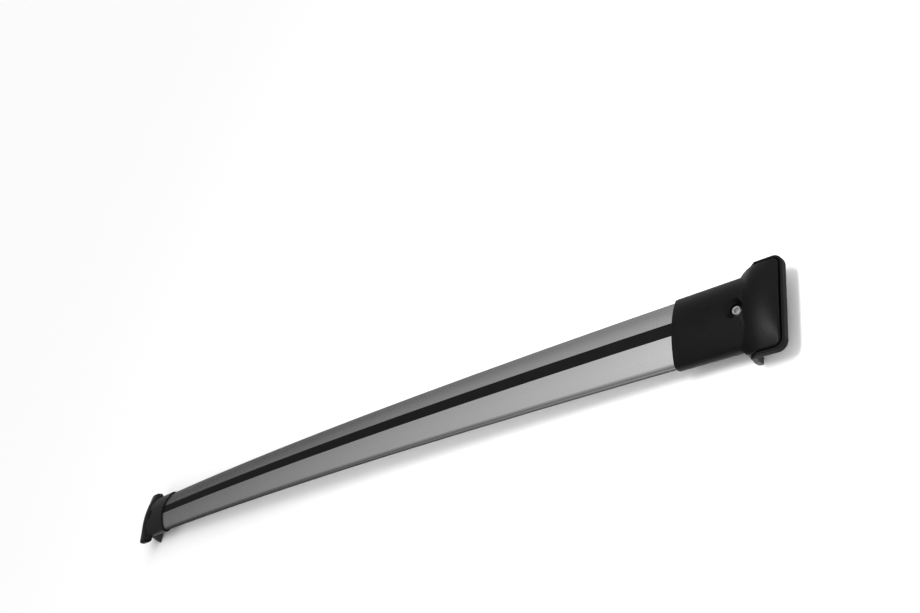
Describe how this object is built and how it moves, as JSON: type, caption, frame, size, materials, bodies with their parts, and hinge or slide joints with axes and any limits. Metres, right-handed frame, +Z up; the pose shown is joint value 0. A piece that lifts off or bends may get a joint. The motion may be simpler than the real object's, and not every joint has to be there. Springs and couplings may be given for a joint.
{
  "type": "roof rack crossbar",
  "caption": "Arched oval aluminium crossbar with a rubber strip in its top slot and black clamping feet that hook a roof rail.",
  "frame": {"origin": "under the middle of the bar, on the level of the claws' lowest edges", "axes": "+X along the bar to the right foot, +Y across it, +Z up"},
  "size_m": [1.1656, 0.0776, 0.0414],
  "materials": {
    "bar": "satin anodised extrusion",
    "slot_strip": "matte black extrusion",
    "foot_cover": "black, fine grain",
    "foot_pad": "matte black",
    "foot_bracket": "as cast, blasted",
    "clamp_jaw": "black powder coat",
    "jaw_lining": "matte black",
    "jaw_nut": "zinc plated",
    "clamp_bolt": "zinc plated",
    "bolt_washer": "zinc plated",
    "bolt_clip": "spring steel",
    "bracket_screws": "stainless",
    "cover_screws": "stainless"
  },
  "bodies": {
    "bar": {"bar": "bar", "slot_strip": "slot_strip", "right_foot_cover": "foot_cover", "right_foot_pad": "foot_pad", "right_foot_bracket": "foot_bracket", "right_bolt_washer": "bolt_washer", "right_bracket_screws": "bracket_screws", "right_cover_screws": "cover_screws", "left_foot_cover": "foot_cover", "left_foot_pad": "foot_pad", "left_foot_bracket": "foot_bracket", "left_bolt_washer": "bolt_washer", "left_bracket_screws": "bracket_screws", "left_cover_screws": "cover_screws"},
    "right_bolt": {"right_clamp_bolt": "clamp_bolt", "right_bolt_clip": "bolt_clip"},
    "right_jaw": {"right_clamp_jaw": "clamp_jaw", "right_jaw_lining": "jaw_lining", "right_jaw_nut": "jaw_nut"},
    "left_bolt": {"left_clamp_bolt": "clamp_bolt", "left_bolt_clip": "bolt_clip"},
    "left_jaw": {"left_clamp_jaw": "clamp_jaw", "left_jaw_lining": "jaw_lining", "left_jaw_nut": "jaw_nut"}
  },
  "joints": [
    {"name": "right_jaw_slide", "type": "slide", "parent": "bar", "child": "right_jaw", "axis": [-0.0426, 0, -0.9991], "range_m": [0, 0.005]},
    {"name": "right_bolt_turn", "type": "hinge", "parent": "bar", "child": "right_bolt", "pos_m": [0.54632, 0, 0.02212], "axis": [0.0426, 0, 0.9991], "range_deg": [0, 2250]},
    {"name": "left_jaw_slide", "type": "slide", "parent": "bar", "child": "left_jaw", "axis": [0.0426, 0, -0.9991], "range_m": [0, 0.005]},
    {"name": "left_bolt_turn", "type": "hinge", "parent": "bar", "child": "left_bolt", "pos_m": [-0.54632, 0, 0.02212], "axis": [-0.0426, 0, 0.9991], "range_deg": [0, 2250]}
  ],
  "couplings": [
    {"joint": "right_bolt_turn", "follows": "right_jaw_slide", "rad_per_m": 7854},
    {"joint": "left_bolt_turn", "follows": "left_jaw_slide", "rad_per_m": 7854}
  ]
}
